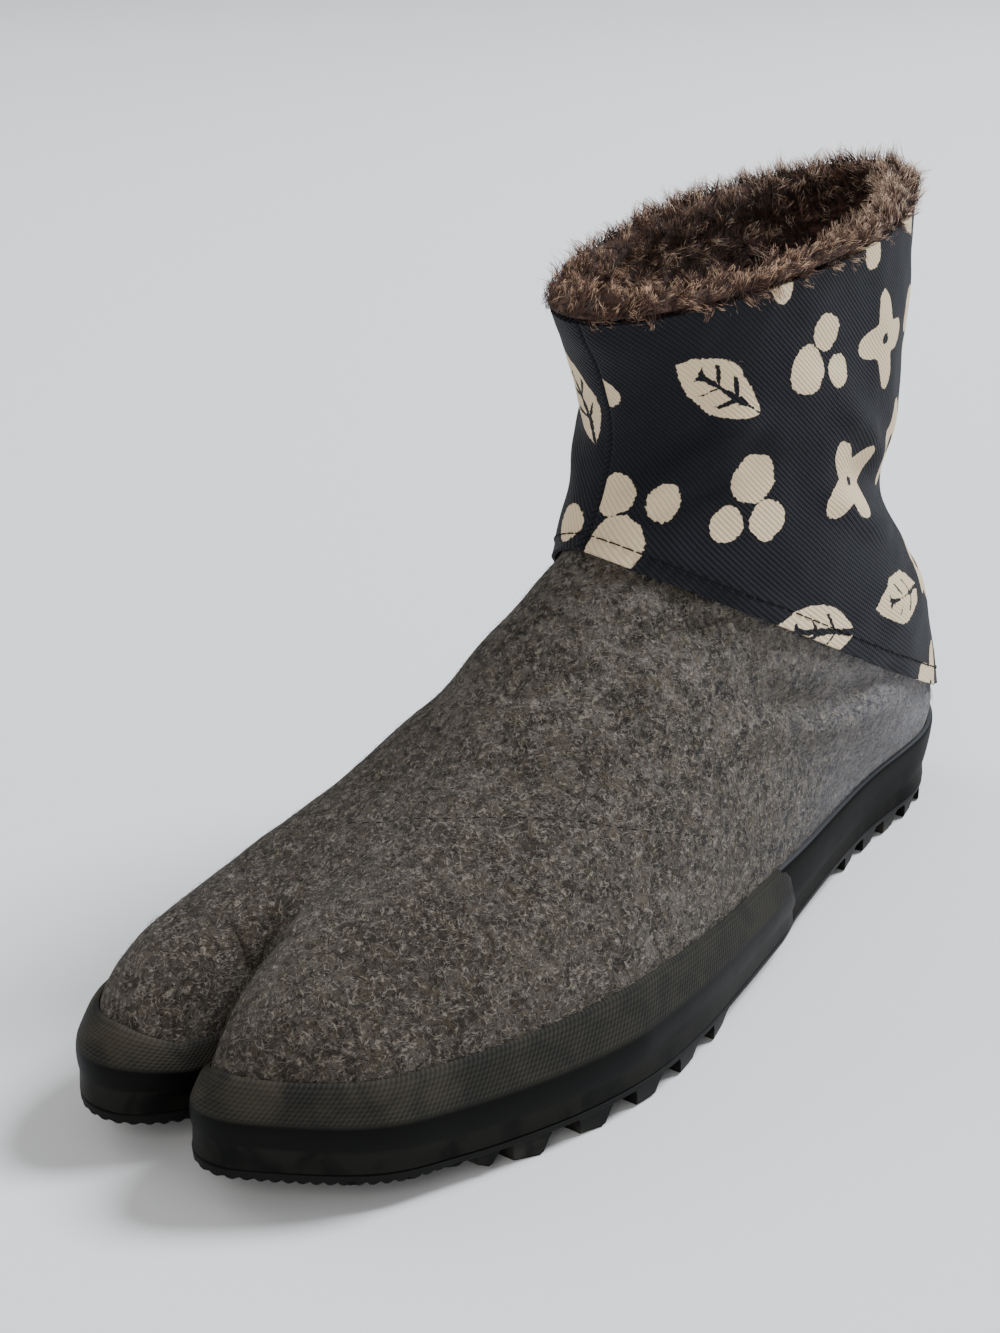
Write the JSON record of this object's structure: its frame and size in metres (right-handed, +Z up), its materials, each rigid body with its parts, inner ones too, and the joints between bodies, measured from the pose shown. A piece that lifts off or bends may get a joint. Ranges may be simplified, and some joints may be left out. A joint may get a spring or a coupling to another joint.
{
  "type": "jika tabi",
  "caption": "Split-toe work shoe, left foot: felt foot, printed canvas shaft, curly fleece lining with a standing rim, cleated rubber sole and rubber side tapes.",
  "frame": {"origin": "on the floor, under the middle of the shoe's box", "axes": "+Z up, the toes point along -Y and the heel along +Y, +X is the outer (little toe) side"},
  "size_m": [0.099, 0.2718, 0.1718],
  "materials": {
    "upper_felt": "matte heathered wool felt",
    "shaft_canvas": "matte twill canvas",
    "boa_lining": "curly fleece",
    "outsole": "matte",
    "insole": "fleece over board",
    "side_tape_front": "satin with a fine cloth imprint",
    "side_tape_rear": "satin with a fine cloth imprint"
  },
  "bodies": {
    "root": {"upper_felt": "upper_felt", "shaft_canvas": "shaft_canvas", "boa_lining": "boa_lining", "outsole": "outsole", "insole": "insole", "side_tape_front": "side_tape_front", "side_tape_rear": "side_tape_rear"}
  },
  "joints": []
}
